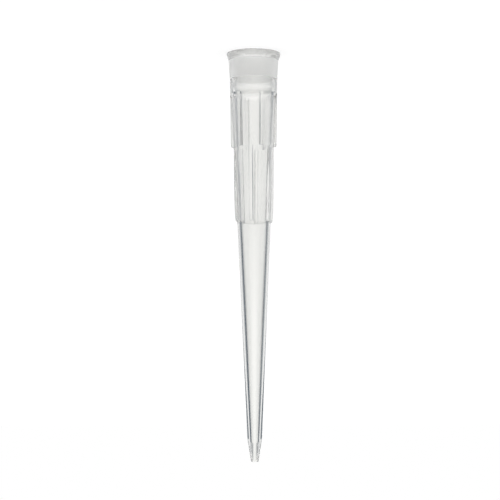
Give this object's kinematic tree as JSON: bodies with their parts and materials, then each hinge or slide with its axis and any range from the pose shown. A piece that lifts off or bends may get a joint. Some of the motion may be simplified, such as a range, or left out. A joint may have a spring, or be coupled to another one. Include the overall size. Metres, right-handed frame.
{
  "type": "pipette tip",
  "caption": "Disposable tapered pipette tip: flared mouth, frosted collar, staggered fins and a long cone down to a fine orifice.",
  "frame": {"origin": "centre of the rim's flat face, on the axis, at the wide mouth", "axes": "+Z along the axis, from the mouth towards the orifice; the part stands on its rim with the orifice up; -Y is the front, nearest one fin of the narrow tier"},
  "size_m": [0.0078, 0.0078, 0.059],
  "materials": {
    "clear_polypropylene": "natural, clear moulded polypropylene; gloss all over, with a frosted outer face on the collar next to the rim"
  },
  "bodies": {
    "root": {"tip": "clear_polypropylene"}
  },
  "joints": []
}
